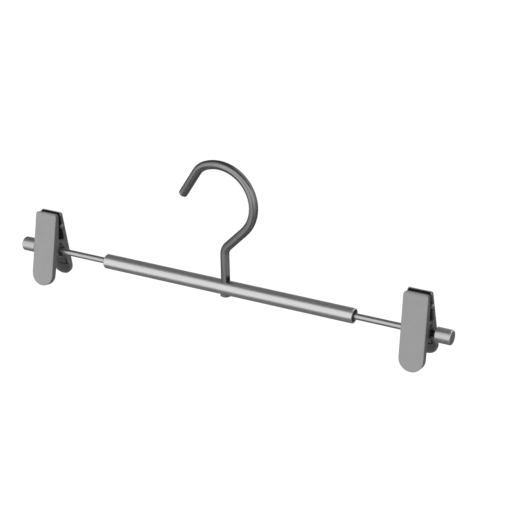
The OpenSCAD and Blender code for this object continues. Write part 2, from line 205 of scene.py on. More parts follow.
tube = turned([(-bar_half, bore_r, bore_edge), (-hole_ring, bore_r), (hole_ring, bore_r),
               (bar_half, bore_r, bore_edge), (bar_half, bar_r, bar_edge), (hole_ring, bar_r),
               (-hole_ring, bar_r), (-bar_half, bar_r, bar_edge)])
tube = joined(tube, pin_shape(wire_hole_r, 0, bar_r + past, "Z", 64))
tube = joined(tube, pin_shape(shank_hole_r, -bar_r - past, 0, "Z", 64))
tube = finished("satin_tube", tube, placed(), satin_nickel)
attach(tube, "crossbar")
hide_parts("crossbar_tube")

# Plugs: short plastic bushes pushed into each end of the tube. The outer one sits just inside
# the mouth and the inner one holds the rod's far end, so the rod runs down the tube's middle.
plug_r, plug_hole_r, plug_edge, plug_hole_edge = 4.08, 2.12, 0.3, 0.2
mouth_sink, mouth_len, deep_len = 0.9, 11, 8
mouth_from = bar_half - mouth_sink - mouth_len
rod_from = 55.8  # where the rod starts, level with the inner plug's end

# Moulded nylon: near black, with a low sheen and the fine pebble of a spark-eroded mould, near
# 0.1 mm in the real one and drawn at 0.35 mm.
nylon, tree, shader = surface("moulded_black_nylon", Base_Color=linear("#262627"), IOR=1.53)
at = add(tree, "TexCoord", {}).outputs["Object"]
pebble = add(tree, "TexNoise", {"Vector": at, "Scale": 1 / (0.35 * MM), "Detail": 2.0})
rough = add(tree, "MapRange", {"Value": pebble.outputs[0], "To Min": 0.42, "To Max": 0.62})
tree.links.new(rough.outputs[0], shader.inputs["Roughness"])
relief = add(tree, "Bump", {"Height": pebble.outputs[0], "Strength": 0.25, "Distance": 0.03 * MM})
tree.links.new(relief.outputs[0], shader.inputs["Normal"])

for side, end in ((-1, "left"), (1, "right")):
    for name, node, start, length in (("mouth_bush", "end_plug", mouth_from, mouth_len),
                                      ("deep_bush", "inner_plug", rod_from, deep_len)):
        bush = turned([(start, plug_hole_r, plug_hole_edge), (start + length, plug_hole_r, plug_edge),
                       (start + length, plug_r, plug_edge), (start, plug_r, plug_edge)], sides=64)
        bmesh.ops.scale(bush, vec=(side, 1, 1), verts=bush.verts)
        bush = finished(f"{end}_{name}", bush, placed(), nylon)
        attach(bush, "crossbar")
        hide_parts(f"{end}_{node}")

# Rods: straight lengths of bright drawn steel, 4.2 mm across, that run out of the tube's ends
# and carry the clips. The right one is 2.3 mm shorter. Their ends are turned to a small chamfer.
rod_r, rod_chamfer, rod_cap = 2.1, 0.4, 3.4  # the cap is how far a knob's end face stands past the rod
rod_ends = ((-1, "left", 162.4 - rod_cap), (1, "right", 160.1 - rod_cap))
# Where the rod is painted dark beside each knob, as painted shade, in mm out from the bar's middle.
rod_shade_from, rod_shade_to = 145.7, 146.7

# Bright drawn steel: smoother than the tube, with the same lengthwise lines but finer, near
# 0.05 mm in the real one and drawn 0.4 mm wide.
drawn_steel, tree, shader = surface("bright_drawn_steel", Metallic=1.0)
at = add(tree, "TexCoord", {}).outputs["Object"]
lengthwise = add(tree, "Mapping", {"Vector": at, "Scale": (1 / (25 * MM), 1 / (0.4 * MM), 1 / (0.4 * MM))})
lines = add(tree, "TexNoise", {"Vector": lengthwise.outputs[0], "Scale": 1.0, "Detail": 3.0})
rough = add(tree, "MapRange", {"Value": lines.outputs[0], "From Min": 0.3, "From Max": 0.7,
                               "To Min": 0.27, "To Max": 0.37})
tree.links.new(rough.outputs[0], shader.inputs["Roughness"])
relief = add(tree, "Bump", {"Height": lines.outputs[0], "Strength": 0.1, "Distance": 0.02 * MM})
tree.links.new(relief.outputs[0], shader.inputs["Normal"])
# Beside each knob, in the short stretch between the clip and the knob, the rod is painted nearly black:
# painted shade of that narrow gap.
from_bar = add(tree, "VectorMath", {0: at, 1: bar}, operation="SUBTRACT")
parts = add(tree, "SeparateXYZ", {"Vector": from_bar.outputs[0]})
out = add(tree, "Math", {0: parts.outputs["X"]}, operation="ABSOLUTE")
rod_shade = add(tree, "MapRange", {"Value": out.outputs[0], "From Min": rod_shade_from * MM,
                                "From Max": rod_shade_to * MM}, interpolation_type="SMOOTHSTEP")
tint = add(tree, "Mix", {"Factor": rod_shade.outputs[0], "A": linear("#c6c6c6"), "B": linear("#363636")},
           data_type="RGBA")
tree.links.new(tint.outputs["Result"], shader.inputs["Base Color"])

for side, end, rod_to in rod_ends:
    rod = turned([(rod_from, 0), (rod_from, rod_r, rod_chamfer), (rod_to, rod_r, rod_chamfer), (rod_to, 0)],
                 closed=False, sides=64)
    bmesh.ops.scale(rod, vec=(side, 1, 1), verts=rod.verts)
    rod = finished(f"{end}_slide_rod", rod, placed(), drawn_steel)
    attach(rod, "crossbar")
    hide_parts(f"{end}_rod")

# End knobs: solid steel caps turned on a lathe and pressed on the rods, to stop the clips from
# sliding off. Outer rims are rounded, inner ones only broken.
knob_r, knob_len, outer_rim, inner_rim, knob_hole_edge = 4.9, 10.4, 0.9, 0.4, 0.2

# Turned and plated steel: the tool leaves faint rings round the barrel and over the end face,
# 0.1 mm apart in the real one and drawn here at about 0.4 mm.
turned_steel, tree, shader = surface("turned_plated_steel", Metallic=1.0, Base_Color=linear("#cecece"))
at = add(tree, "Mapping", {"Vector": add(tree, "TexCoord", {}).outputs["Object"], "Location": -bar})
parts = add(tree, "SeparateXYZ", {"Vector": at.outputs[0]})
across_axis = add(tree, "CombineXYZ", {"Y": parts.outputs["Y"], "Z": parts.outputs["Z"]})
radius = add(tree, "VectorMath", {0: across_axis.outputs[0]}, operation="LENGTH")
path = add(tree, "Math", {0: parts.outputs["X"], 1: radius.outputs["Value"]}, operation="ADD")
rings = add(tree, "TexNoise", {"W": path.outputs[0], "Scale": 1 / (0.4 * MM), "Detail": 2.0},
            noise_dimensions="1D")
rough = add(tree, "MapRange", {"Value": rings.outputs[0], "From Min": 0.3, "From Max": 0.7,
                               "To Min": 0.36, "To Max": 0.46})
tree.links.new(rough.outputs[0], shader.inputs["Roughness"])
relief = add(tree, "Bump", {"Height": rings.outputs[0], "Strength": 0.15, "Distance": 0.02 * MM})
tree.links.new(relief.outputs[0], shader.inputs["Normal"])

# Painted shade: each knob's flat end face gets a greyer copy of the same steel, which stands in for the
# dimmer light on that face.
shaded_end_steel = turned_steel.copy()
shaded_end_steel.name = "end_shade_plated_steel"
shaded_end_steel.node_tree.nodes[shader.name].inputs["Base Color"].default_value = linear("#a2a2a2")

for side, end, rod_to in rod_ends:
    knob = turned([(knob_len, 0), (knob_len, knob_r, outer_rim), (0, knob_r, inner_rim),
                   (0, plug_hole_r, knob_hole_edge), (knob_len - rod_cap, plug_hole_r),
                   (knob_len - rod_cap, 0)], closed=False)
    bmesh.ops.translate(knob, vec=(rod_to + rod_cap - knob_len, 0, 0), verts=knob.verts)
    bmesh.ops.scale(knob, vec=(side, 1, 1), verts=knob.verts)
    knob = finished(f"{end}_stop_knob", knob, placed(), turned_steel)
    knob.data.materials.append(shaded_end_steel)
    for face in knob.data.polygons:
        face.material_index = int(side * face.normal.x > 0.95)  # the flat end, less its rounded rim
    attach(knob, "crossbar")
    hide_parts(f"{end}_end_knob")

# Hook: one piece of 6 mm steel wire, bent cold. A straight stem stands in the tube, leans to the
# right through the neck, and runs round into the open hook. Its foot is turned down to a shank.
wire_r, shank_r, shank_low, shoulder = 3.0, 2.5, -5.75, -2.745
neck_at, neck_r, neck_lean = Vector((9, 23.834)), 9.0, 45
crook_at, crook_r, crook_end = Vector((-3.1, 60.1)), 25.2, 113
lip_at, lip_r, lip_end, lip_len, lip_round = Vector((-7.476, 70.410)), 14.0, 147, 21.0, 1.1
streak_wide, streak_long = 1.2, 60
rub_from, rub_to, rub_start, rub_fade = 72, 105, 14, 10  # along the wire, on the right of the crook
# Painted shade at the stem's foot: which way across the wire it falls, and where it fades out.
foot_shade_way, foot_shade_from, foot_shade_full = (0.87, 0.48, 0), -0.2, 1.2  # across the wire, towards its right
foot_shade_low, foot_shade_high = 13.5, 16.5  # where it fades out, along the wire
stem_rings = (8, 16)


def arc(centre, radius, start, end, step=6):
    """Points on a curve in the hook's own plane, between two angles in degrees."""
    count = max(2, round(abs(end - start) / step))
    turns = [radians(start + (end - start) * i / count) for i in range(count + 1)]
    return [centre + radius * Vector((cos(a), sin(a))) for a in turns]


def wire(points, radius, sides, foot=None):
    """Draws a round wire by carrying a ring of edges from point to point. Up to the third point it
    has the foot's radius, if that is given. Each corner keeps its place across the wire and its
    length along it, for marks that follow the wire."""
    shape = bmesh.new()
    laid = shape.verts.layers.float_vector.new("laid")
    ways = [(points[min(i + 1, len(points) - 1)] - points[max(i - 1, 0)]).normalized()
            for i in range(len(points))]
    ring = bmesh.ops.create_circle(shape, cap_ends=False, segments=sides, radius=foot or radius)["verts"]
    for point in ring:
        point[laid] = point.co * (radius / (foot or radius))
    way = Vector((0, 0, 1))
    bmesh.ops.rotate(shape, cent=(0, 0, 0), matrix=way.rotation_difference(ways[0]).to_matrix(), verts=ring)
    bmesh.ops.translate(shape, vec=points[0], verts=ring)
    first = edges = shape.edges[:]
    length, steps = 0.0, list(zip(points, points[1:], ways, ways[1:]))
    for i, (start, end, way, onward) in enumerate(steps):
        grown = bmesh.ops.extrude_edge_only(shape, edges=edges)["geom"]
        ring = [part for part in grown if isinstance(part, bmesh.types.BMVert)]
        edges = [part for part in grown if isinstance(part, bmesh.types.BMEdge)
                 and all(corner in ring for corner in part.verts)]
        length += (end - start).length
        bmesh.ops.rotate(shape, cent=start, matrix=way.rotation_difference(onward).to_matrix(), verts=ring)
        bmesh.ops.translate(shape, vec=end - start, verts=ring)
        if foot and i == 1:
            bmesh.ops.scale(shape, vec=Vector((1, 1, 1)) * radius / foot, verts=ring,
                            space=Matrix.Translation(-end))
        for point in ring:
            point[laid] = (point[laid].x, point[laid].y, length)
    ends = [bmesh.ops.edgeloop_fill(shape, edges=loop)["faces"][0] for loop in (first, edges)]
    return shape, ends[-1]


# Dull nickel plate on bent wire: darker and duller than the tube. Fine streaks run along the
# wire from its drawing, 1.2 mm wide as drawn here. Where the bending tool rubbed the crook, the
# plate is burnished, and there a brighter line of light shows.
dull_nickel, tree, shader = surface("dull_nickel_plate", Metallic=1.0)
laid = add(tree, "Attribute", {}, attribute_name="laid")
along = add(tree, "Mapping", {"Vector": laid.outputs["Vector"],
                              "Scale": (1 / streak_wide, 1 / streak_wide, 1 / streak_long)})
streaks = add(tree, "TexNoise", {"Vector": along.outputs[0], "Scale": 1.0, "Detail": 2.0})
contrast = add(tree, "MapRange", {"Value": streaks.outputs[0], "From Min": 0.3, "From Max": 0.7})
tint = add(tree, "Mix", {"Factor": contrast.outputs[0], "A": linear("#606060"), "B": linear("#a5a5a5")},
           data_type="RGBA")
place = add(tree, "SeparateXYZ", {"Vector": laid.outputs["Vector"]})
unrubbed = add(tree, "MapRange", {"Value": place.outputs["Z"], "From Min": rub_from,
                                  "From Max": rub_from + rub_start, "To Min": 1.0, "To Max": 0.0},
               interpolation_type="SMOOTHSTEP")
unrubbed = add(tree, "MapRange", {"Value": place.outputs["Z"], "From Min": rub_to,
                                  "From Max": rub_to + rub_fade, "To Min": unrubbed.outputs[0],
                                  "To Max": 1.0}, interpolation_type="SMOOTHSTEP")
dulled = add(tree, "MapRange", {"Value": unrubbed.outputs[0], "To Min": 0.28, "To Max": 0.54})
rough = add(tree, "Math", {0: streaks.outputs[0], 1: -0.12, 2: dulled.outputs[0]}, operation="MULTIPLY_ADD")
tree.links.new(rough.outputs[0], shader.inputs["Roughness"])
# Painted shade: on the stem's right, for 4 mm above where it enters the tube, the wire is painted dark. This
# stands in for the tube's shade and its dark reflection there.
right = add(tree, "VectorMath", {0: laid.outputs["Vector"], 1: foot_shade_way}, operation="DOT_PRODUCT")
foot_shade = add(tree, "MapRange", {"Value": right.outputs["Value"], "From Min": foot_shade_from,
                               "From Max": foot_shade_full}, interpolation_type="SMOOTHSTEP")
foot_shade = add(tree, "MapRange", {"Value": place.outputs["Z"], "From Min": foot_shade_low, "From Max": foot_shade_high,
                               "To Min": foot_shade.outputs[0], "To Max": 0.0}, interpolation_type="SMOOTHSTEP")
foot_shaded = add(tree, "Mix", {"Factor": foot_shade.outputs[0], "A": tint.outputs["Result"], "B": linear("#262626")},
              data_type="RGBA")
tree.links.new(foot_shaded.outputs["Result"], shader.inputs["Base Color"])
relief = add(tree, "Bump", {"Height": streaks.outputs[0], "Strength": 0.15, "Distance": 0.02 * MM})
tree.links.new(relief.outputs[0], shader.inputs["Normal"])

lip_way = Vector((-sin(radians(lip_end)), cos(radians(lip_end))))
line = [Vector((0, up)) for up in (shank_low, shoulder, shoulder, *stem_rings)]
line += arc(neck_at, neck_r, 180, 180 - neck_lean)
line += arc(crook_at, crook_r, -neck_lean, crook_end) + arc(lip_at, lip_r, crook_end, lip_end)[1:]
line += [line[-1] + lip_way * lip_len / 2, line[-1] + lip_way * lip_len]
line = [Vector((point.x, 0, point.y)) for point in line]
hook, tip_face = wire(line, wire_r, 40, foot=shank_r)
bmesh.ops.bevel(hook, geom=tip_face.edges[:], offset=lip_round, offset_type="OFFSET", segments=5,
                profile=0.5, affect="EDGES", material=-1)
hook = finished("hook_wire", hook, placed(), dull_nickel)
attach(hook, "hook")
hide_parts("hook")

# Saddle washer: a small steel disc under the tube, dished to sit on its round. The hook's shank
# goes through it, and its end is riveted over below, loose enough for the hook to turn.
washer_r, washer_t, washer_edge = 3.7, 0.7, 0.2
through = 10  # half the length of a cutter that goes right through

# Plain steel: ground grey and a little dull, with 0.6 mm marks of the barrel that it tumbled in.
plain_steel, tree, shader = surface("tumbled_plain_steel", Metallic=1.0, Base_Color=linear("#8e8e8e"))
at = add(tree, "TexCoord", {}).outputs["Object"]
marks = add(tree, "TexNoise", {"Vector": at, "Scale": 1 / (0.6 * MM), "Detail": 3.0})
rough = add(tree, "MapRange", {"Value": marks.outputs[0], "To Min": 0.3, "To Max": 0.5})
tree.links.new(rough.outputs[0], shader.inputs["Roughness"])

upright = Matrix.Rotation(-pi / 2, 4, "Y")
washer = turned([(-bar_r - washer_t, 0), (-bar_r - washer_t, washer_r, washer_edge), (-1, washer_r), (-1, 0)],
                closed=False, sides=64)
washer.transform(upright)
washer = joined(washer, pin_shape(bar_r, -through, through))
washer = joined(washer, pin_shape(shank_hole_r, -bar_r - 2 * past, 0, "Z", 64))
washer = finished("dished_washer", washer, placed(), plain_steel)
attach(washer, "crossbar")
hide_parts("saddle_washer")

# Rivet head: the end of the hook's shank, spread into a low dome under the washer.
# The plate has burnt off it, so it is nearly black.
head_r, head_h, head_slope, head_flat = 3.1, 0.9, 0.5, 1.2

# Burnt steel: dark scale in 0.7 mm patches, with a soft, uneven sheen.
burnt_steel, tree, shader = surface("scaled_black_steel", Metallic=1.0)
at = add(tree, "TexCoord", {}).outputs["Object"]
scale_marks = add(tree, "TexNoise", {"Vector": at, "Scale": 1 / (0.7 * MM), "Detail": 3.0})
tint = add(tree, "Mix", {"Factor": scale_marks.outputs[0], "A": linear("#1c1c1c"), "B": linear("#3a3a39")},
           data_type="RGBA")
tree.links.new(tint.outputs["Result"], shader.inputs["Base Color"])
rough = add(tree, "MapRange", {"Value": scale_marks.outputs[0], "To Min": 0.3, "To Max": 0.55})
tree.links.new(rough.outputs[0], shader.inputs["Roughness"])

rivet = turned([(shank_low, 0), (shank_low, head_r, 0.15), (shank_low - head_slope, head_r - head_slope, 1.6),
                (shank_low - head_h, head_flat, 4), (shank_low - head_h, 0)], closed=False, sides=64)
rivet.transform(upright)
rivet = finished("rivet_head", rivet, placed(), burnt_steel)
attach(rivet, "hook")
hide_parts("hook")

# Pivot sleeves: each clip turns and slides on a thin steel bush round the rod. Its ends are
# spread into flanges after the jaws' ears are on it, and hold the clip together. The clips hang
# as they were left: the right one leans forward at the top, and the left one a little back.
clips = []
for end, lean in (("left", -1), ("right", 4.5)):
    low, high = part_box(f"{end}_pivot_sleeve")
    clips.append((end, placed(((low.x + high.x) / 2 - bar.x) / MM) @ Matrix.Rotation(radians(lean), 4, "X")))
sleeve_bore, sleeve_r, flange_r, flange_in, flange_out = 2.15, 3.0, 3.7, 8.45, 8.95

# Blued steel: dark, smooth and a little glossy, with cloudy 0.8 mm spots in its gloss.
blued_steel, tree, shader = surface("blued_steel", Metallic=1.0, Base_Color=linear("#4b4c4e"))
at = add(tree, "TexCoord", {}).outputs["Object"]
marks = add(tree, "TexNoise", {"Vector": at, "Scale": 1 / (0.8 * MM), "Detail": 3.0})
rough = add(tree, "MapRange", {"Value": marks.outputs[0], "To Min": 0.28, "To Max": 0.46})
tree.links.new(rough.outputs[0], shader.inputs["Roughness"])

for end, clip in clips:
    half = [(flange_out, sleeve_bore, 0.15), (flange_out, flange_r, 0.15), (flange_in, flange_r, 0.1),
            (flange_in, sleeve_r, 0.1)]
    sleeve = turned(half + [(-a, b, r) for a, b, r in half[::-1]], sides=64)
    sleeve = finished(f"{end}_flanged_bush", sleeve, clip, blued_steel)
    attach(sleeve, f"{end}_sleeve")
    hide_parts(f"{end}_pivot_sleeve")

# Jaws: each is pressed from 1.2 mm steel sheet into a shallow trough with folded sides. Grip and
# handle are one plate; its sides run down into ears with a hole, and the ears turn on the sleeve.
# The front jaw's own ears stand inside the back jaw's.
tilt = radians(11.6)
clip_half, grip_up, handle_down, face_out, face_in = 8.4, 26.7, 24.9, 9.25, 8.05
side_in, corner_r, fold_r, inner_fold_r, tip_r, taper_r, top_bevel = 7.15, 2.0, 0.5, 0.35, 0.5, 2, 0.9
ear_hole, ear_r, seam_r, seam_gap = 3.05, 4.6, 4.9, 0.45
ear_in, ear_out, ear_root = 5.8, 7.0, 8.65  # the front jaw's ears, across the clip and out to its plate
ear_corner, ear_foot, ear_heel = Vector((1.0, 6.4)), Vector((4.7, -7.0)), Vector((6.15, 7.1))
front_rim, back_rim, taper_down = 5.05, 7.05, 15.4
front_top, back_top, side_notch = 3.1, 1.7, Vector((5, 8.4))  # where each jaw's sides are cut back
pin_at, lobe_r, pin_hole_r = Vector((6.3, 16.8)), 1.9, 1.02
side_view = Matrix(((0, 0, 1, 0), (1, 0, 0, 0), (0, 1, 0, 0), (0, 0, 0, 1)))
front_view = Matrix(((1, 0, 0, 0), (0, 0, 1, 0), (0, 1, 0, 0), (0, 0, 0, 1)))
lean_back = Matrix.Rotation(tilt, 4, "X")
to_front = Matrix.Diagonal((1, -1, 1, 1))


def touching(point, radius, side):
    """Where a line from a point just touches a circle round the pivot, on one side of it."""
    angle = atan2(point.y, point.x) + side * acos(radius / point.length)
    return radius * Vector((cos(angle), sin(angle)))


def across_seam(point):
    """A point of the back jaw's side, as the closed front jaw's own side view sees it."""
    return Vector((point.y * sin(2 * tilt) - point.x * cos(2 * tilt),
                   point.y * cos(2 * tilt) + point.x * sin(2 * tilt)))


def block(corners, low, high, view, edge=0.0):
    """An outline carried from low to high across its own plane, its far edges rounded by edge."""
    shape = rounded(corners)
    bmesh.ops.edgeloop_fill(shape, edges=shape.edges)
    grown = bmesh.ops.extrude_face_region(shape, geom=shape.faces[:])["geom"]
    far = [part for part in grown if isinstance(part, bmesh.types.BMVert)]
    bmesh.ops.translate(shape, vec=(0, 0, high - low), verts=far)
    bmesh.ops.translate(shape, vec=(0, 0, low), verts=shape.verts)
    if edge:
        rim = [part for part in shape.edges if all(abs(corner.co.z - high) < 0.001 for corner in part.verts)]
        bmesh.ops.bevel(shape, geom=rim, offset=edge, offset_type="OFFSET", segments=5, profile=0.5,
                        affect="EDGES", material=-1)
    shape.transform(view)
    return shape


def pressed(side_shape, cut_r):
    """A jaw's trough: the plate's front view, kept within a side view, hollowed and cut for the pivot."""
    outside = block([(-clip_half, grip_up, corner_r), (clip_half, grip_up, corner_r),
                     (clip_half, -handle_down, clip_half), (-clip_half, -handle_down, clip_half)],
                    -ear_r - past, face_out, front_view, fold_r)
    inside = block([(-side_in, grip_up + 2 * past), (side_in, grip_up + 2 * past),
                    (side_in, clip_half - handle_down - side_in, side_in),
                    (-side_in, clip_half - handle_down - side_in, side_in)],
                   -ear_r - 2 * past, face_in, front_view, inner_fold_r)
    trough = joined(joined(outside, side_shape, "INTERSECT"), inside)
    return joined(trough, pin_shape(cut_r, -through, through))


def coated(name, jaw, place):
    """Finishes a jaw with the coat outside and, inside its trough, a darker copy of it as painted shade."""
    for face in jaw.faces:
        face.material_index = all(abs(corner.co.x) < side_in + 0.01 and corner.co.y < face_in + 0.01
                                  for corner in face.verts)
    jaw = finished(name, jaw, place, coat_and_shade[0])
    jaw.data.materials.append(coat_and_shade[1])
    return jaw


# Stoved enamel on pressed steel: mid grey and matt, with a fine orange peel and a faint cloud of
# tone. The peel is near 0.5 mm in the real one and drawn at 0.7 mm.
# Inside the trough a darker copy of the same coat is used: painted shade of the hollow.
coat_and_shade = []
for name, dark, light in (("stoved_grey_enamel", "#9a9a9a", "#a3a3a3"),
                          ("shaded_grey_enamel", "#7a7a7a", "#828282")):
    coat, tree, shader = surface(name, IOR=1.5, Specular_IOR_Level=0.25)
    at = add(tree, "TexCoord", {}).outputs["Object"]
    cloud = add(tree, "TexNoise", {"Vector": at, "Scale": 1 / (9 * MM), "Detail": 3.0})
    tint = add(tree, "Mix", {"Factor": cloud.outputs[0], "A": linear(dark), "B": linear(light)},
               data_type="RGBA")
    tree.links.new(tint.outputs["Result"], shader.inputs["Base Color"])
    peel = add(tree, "TexNoise", {"Vector": at, "Scale": 1 / (0.7 * MM), "Detail": 2.0})
    rough = add(tree, "MapRange", {"Value": peel.outputs[0], "To Min": 0.48, "To Max": 0.62})
    tree.links.new(rough.outputs[0], shader.inputs["Roughness"])
    relief = add(tree, "Bump", {"Height": peel.outputs[0], "Strength": 0.18, "Distance": 0.05 * MM})
    tree.links.new(relief.outputs[0], shader.inputs["Normal"])
    coat_and_shade.append(coat)

tip = [(face_out, grip_up - top_bevel, 0.4), (face_out - top_bevel, grip_up, 0.3)]
handles = [[(rim, -taper_down, taper_r), (rim, -handle_down - past), (face_out, -handle_down - past)]
           for rim in (front_rim, back_rim)]
ear_edge = [ear_corner, touching(ear_corner, ear_r, -1), Vector((0, 0)), touching(ear_foot, ear_r, 1)]
seam_corner = across_seam(ear_corner * (1 + seam_gap / ear_corner.length))
seam_start = across_seam((ear_corner + ear_heel) / 2 + Vector((0, seam_gap)))
taper_start = Vector((ear_foot.x - ear_foot.y / (-taper_down - ear_foot.y) * (front_rim - ear_foot.x), 0))

for end, clip in clips:
    side_shape = block([*tip, (face_out - front_top, grip_up, tip_r), (face_out - side_notch.x, side_notch.y),
                        seam_start, seam_corner, touching(seam_corner, seam_r, -1), (0, 0), taper_start,
                        ear_foot, *handles[0]], -clip_half - past, clip_half + past, side_view)
    jaw = pressed(side_shape, seam_r)
    for hand in (-1, 1):
        ear = block([(ear_root, ear_heel.y), *ear_edge, ear_foot, (ear_root, ear_foot.y)], ear_in, ear_out,
                    side_view)
        ear = joined(ear, pin_shape(ear_r, ear_in, ear_out), "UNION")
        ear = joined(ear, pin_shape(ear_hole, 5, 8))
        bmesh.ops.scale(ear, vec=(hand, 1, 1), verts=ear.verts)
        jaw = joined(jaw, ear, "UNION")
    jaw = coated(f"{end}_front_plate", jaw, clip @ to_front @ lean_back)
    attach(jaw, f"{end}_front_jaw")
    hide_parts(f"{end}_front_jaw")

    side_shape = block([*tip, (face_out - back_top, grip_up, tip_r), ear_heel, *ear_edge, ear_foot,
                        *handles[1]], -clip_half - past, clip_half + past, side_view)
    side_shape = joined(side_shape, pin_shape(ear_r, -clip_half - past, clip_half + past), "UNION")
    jaw = pressed(side_shape, ear_hole)
    for hand in (-1, 1):
        lobe = pin_shape(lobe_r, side_in, clip_half, sides=48)
        bmesh.ops.translate(lobe, vec=(0, *pin_at), verts=lobe.verts)
        bmesh.ops.scale(lobe, vec=(hand, 1, 1), verts=lobe.verts)
        jaw = joined(jaw, lobe, "UNION")
    hole = pin_shape(pin_hole_r, -through, through, sides=48)
    bmesh.ops.translate(hole, vec=(0, *pin_at), verts=hole.verts)
    jaw = coated(f"{end}_back_plate", joined(jaw, hole), clip @ lean_back)
    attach(jaw, f"{end}_back_jaw")
    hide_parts(f"{end}_back_jaw")

# Pads: moulded rubber blocks that fill each jaw's grip. Their faces meet upright and have four
# grooves across, which bite the cloth. Corners are rounded by the mould.
pad_low, pad_top, pad_gap, pad_half, pad_chamfer, pad_edge = 8.4, 26.5, 0.1, 7.13, 1.2, 0.3
groove_pitch, groove_w, groove_deep, groove_edge = 2.4, 1.0, 0.6, 0.12

# Moulded rubber: black and dull, a shade greyer where dust and mould bloom lie on it in 3 mm
# patches. Its real grain is near 0.2 mm and drawn at 0.5 mm.
rubber, tree, shader = surface("moulded_black_rubber", IOR=1.5, Specular_IOR_Level=0.2)
at = add(tree, "TexCoord", {}).outputs["Object"]
bloom = add(tree, "TexNoise", {"Vector": at, "Scale": 1 / (3 * MM), "Detail": 4.0})
tint = add(tree, "Mix", {"Factor": bloom.outputs[0], "A": linear("#0f0f0f"), "B": linear("#1d1d1d")},
           data_type="RGBA")
tree.links.new(tint.outputs["Result"], shader.inputs["Base Color"])
grain = add(tree, "TexNoise", {"Vector": at, "Scale": 1 / (0.5 * MM), "Detail": 2.0})
rough = add(tree, "MapRange", {"Value": grain.outputs[0], "To Min": 0.68, "To Max": 0.85})
tree.links.new(rough.outputs[0], shader.inputs["Roughness"])
relief = add(tree, "Bump", {"Height": grain.outputs[0], "Strength": 0.3, "Distance": 0.05 * MM})
tree.links.new(relief.outputs[0], shader.inputs["Normal"])


def in_clip(out, up):
    """A point of a jaw's own side view, where the closed clip has it."""
    return Vector((out * cos(tilt) - up * sin(tilt), up * cos(tilt) + out * sin(tilt)))


for end, clip in clips:
    for face, turn in (("front", to_front), ("back", Matrix())):
        grip = [in_clip((pad_gap + up * sin(tilt)) / cos(tilt) + back, up)
                for up, back in ((pad_low, pad_chamfer), (pad_low + pad_chamfer, 0), (pad_top, 0))]
        outline = [(*corner, pad_edge) for corner in (in_clip(face_in, pad_top), in_clip(face_in, pad_low),
                                                      grip[0], grip[1])]
        for i in (4, 3, 2, 1):
            low = grip_up * cos(tilt) - i * groove_pitch
            outline += [(out, up, groove_edge) for out, up in (
                (pad_gap, low), (pad_gap + groove_deep, low),
                (pad_gap + groove_deep, low + groove_w), (pad_gap, low + groove_w))]
        outline.append((*grip[2], pad_edge))
        pad = block(outline, -pad_half, pad_half, side_view)
        if face == "back":
            hole = pin_shape(pin_hole_r, -through, through, sides=48)
            bmesh.ops.translate(hole, vec=(0, *in_clip(*pin_at)), verts=hole.verts)
            pad = joined(pad, hole)
        pad = finished(f"{end}_{face}_rubber", pad, clip @ turn, rubber)
        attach(pad, f"{end}_{face}_jaw")
        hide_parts(f"{end}_{face}_pad")

# Pad pins: a plated steel pin through the back jaw's sides and its pad holds the pad in the jaw.
# It is pushed in from one side, and then both its ends are spread into low domes.
pin_r, pin_half, pin_head_r, pin_head_h, pin_flat, dome_r = 1.0, 8.42, 1.4, 0.6, 0.7, 1.2

# Bright plated steel: pale and smooth, with faint 0.5 mm spots in its gloss.
bright_plate, tree, shader = surface("bright_plated_steel", Metallic=1.0, Base_Color=linear("#9c9c9c"))
at = add(tree, "TexCoord", {}).outputs["Object"]
marks = add(tree, "TexNoise", {"Vector": at, "Scale": 1 / (0.5 * MM), "Detail": 2.0})
rough = add(tree, "MapRange", {"Value": marks.outputs[0], "To Min": 0.22, "To Max": 0.36})
tree.links.new(rough.outputs[0], shader.inputs["Roughness"])

for end, clip in clips:
    half = [(pin_half, pin_r), (pin_half, pin_head_r, 0.1), (pin_half + pin_head_h, pin_flat, dome_r)]
    pin = turned([(-pin_half - pin_head_h, 0), *[(-a, b, *r) for a, b, *r in half[::-1]], *half,
                  (pin_half + pin_head_h, 0)], closed=False, sides=48)
    bmesh.ops.translate(pin, vec=(0, *in_clip(*pin_at)), verts=pin.verts)
    pin = finished(f"{end}_domed_pin", pin, clip, bright_plate)
    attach(pin, f"{end}_back_jaw")
    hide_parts(f"{end}_pad_pin")

# Springs: 1.1 mm spring wire wound five times round the sleeve. A leg runs down to each handle
# and bends across under its plate, to push the handles apart and close the grip.
spring_r, leg_core, coil_r, coil_half, curls = 0.55, 0.48, 3.9, 4.95, 5
foot_out, foot_down, foot_len, foot_bend, foot_edge = 7.45, 16.3, 6.4, 1.2, 0.12
spring_sides, coil_step = 14, radians(12)

# Oil-tempered spring wire: a nearly black skin with fine lengthwise lines, near 0.05 mm in the real
# one and drawn 0.3 mm wide.
spring_wire, tree, shader = surface("oil_tempered_wire", Metallic=1.0)
laid = add(tree, "Attribute", {}, attribute_name="laid")
along = add(tree, "Mapping", {"Vector": laid.outputs["Vector"], "Scale": (1 / 0.3, 1 / 0.3, 1 / 8)})
lines = add(tree, "TexNoise", {"Vector": along.outputs[0], "Scale": 1.0, "Detail": 3.0})
tint = add(tree, "Mix", {"Factor": lines.outputs[0], "A": linear("#1e1e1e"), "B": linear("#2e2d2d")},
           data_type="RGBA")
tree.links.new(tint.outputs["Result"], shader.inputs["Base Color"])
rough = add(tree, "MapRange", {"Value": lines.outputs[0], "To Min": 0.3, "To Max": 0.45})
tree.links.new(rough.outputs[0], shader.inputs["Roughness"])

